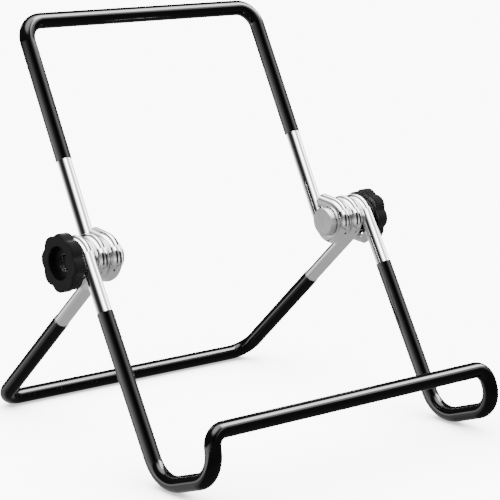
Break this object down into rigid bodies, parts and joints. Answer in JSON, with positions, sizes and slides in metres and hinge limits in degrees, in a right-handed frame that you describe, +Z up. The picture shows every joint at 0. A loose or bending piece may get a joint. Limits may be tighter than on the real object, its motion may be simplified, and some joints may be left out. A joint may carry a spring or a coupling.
{
  "type": "tablet stand",
  "caption": "Folding wire stand that holds a tablet or small book leaning back, with a hooked front lip and clamp knobs at the pivot.",
  "frame": {"origin": "on the desk, at the centre of the overall box's bottom face", "axes": "+X to the stand's right seen from behind the tablet's screen side facing -Y, +Y to the back, +Z up; x = 0 is the mirror plane and the pivot line runs along X"},
  "size_m": [0.1528, 0.1431, 0.1533],
  "materials": {
    "wire": "polished nickel-chrome plate",
    "sleeve": "glossy black vinyl sleeve",
    "bolt": "satin, turned",
    "washer": "bright zinc plate",
    "knob": "satin moulded",
    "insert": "zinc plate, turned"
  },
  "bodies": {
    "front_frame": {"front_frame_wire": "wire", "front_frame_sleeve": "sleeve", "bolt_left": "bolt", "bolt_right": "bolt", "inner_washer_left": "washer", "inner_washer_right": "washer", "outer_washer_left": "washer", "outer_washer_right": "washer"},
    "upper_frame": {"upper_frame_wire": "wire", "upper_frame_sleeve": "sleeve"},
    "rear_frame": {"rear_frame_wire": "wire", "rear_frame_sleeve": "sleeve"},
    "clamp_washer_left": {"clamp_washer_left": "washer"},
    "clamp_washer_right": {"clamp_washer_right": "washer"},
    "knob_left": {"knob_left": "knob", "knob_insert_left": "insert"},
    "knob_right": {"knob_right": "knob", "knob_insert_right": "insert"}
  },
  "joints": [
    {"name": "upper_tilt", "type": "hinge", "parent": "front_frame", "child": "upper_frame", "pos_m": [0, 0.00982, 0.0708], "axis": [1, 0, 0], "range_deg": [-84, 149]},
    {"name": "rear_tilt", "type": "hinge", "parent": "front_frame", "child": "rear_frame", "pos_m": [0, 0.00982, 0.0708], "axis": [1, 0, 0], "range_deg": [-76.9, 15]},
    {"name": "left_washer_travel", "type": "slide", "parent": "front_frame", "child": "clamp_washer_left", "axis": [-1, 0, 0], "range_m": [0, 0.0015]},
    {"name": "left_knob_turn", "type": "hinge", "parent": "clamp_washer_left", "child": "knob_left", "pos_m": [-0.074, 0.00982, 0.0708], "axis": [-1, 0, 0], "range_deg": [0, 541]},
    {"name": "right_washer_travel", "type": "slide", "parent": "front_frame", "child": "clamp_washer_right", "axis": [1, 0, 0], "range_m": [0, 0.0015]},
    {"name": "right_knob_turn", "type": "hinge", "parent": "clamp_washer_right", "child": "knob_right", "pos_m": [0.074, 0.00982, 0.0708], "axis": [1, 0, 0], "range_deg": [0, 541]}
  ],
  "couplings": [
    {"joint": "left_knob_turn", "follows": "left_washer_travel", "rad_per_m": 6283.2},
    {"joint": "right_knob_turn", "follows": "right_washer_travel", "rad_per_m": 6283.2}
  ]
}
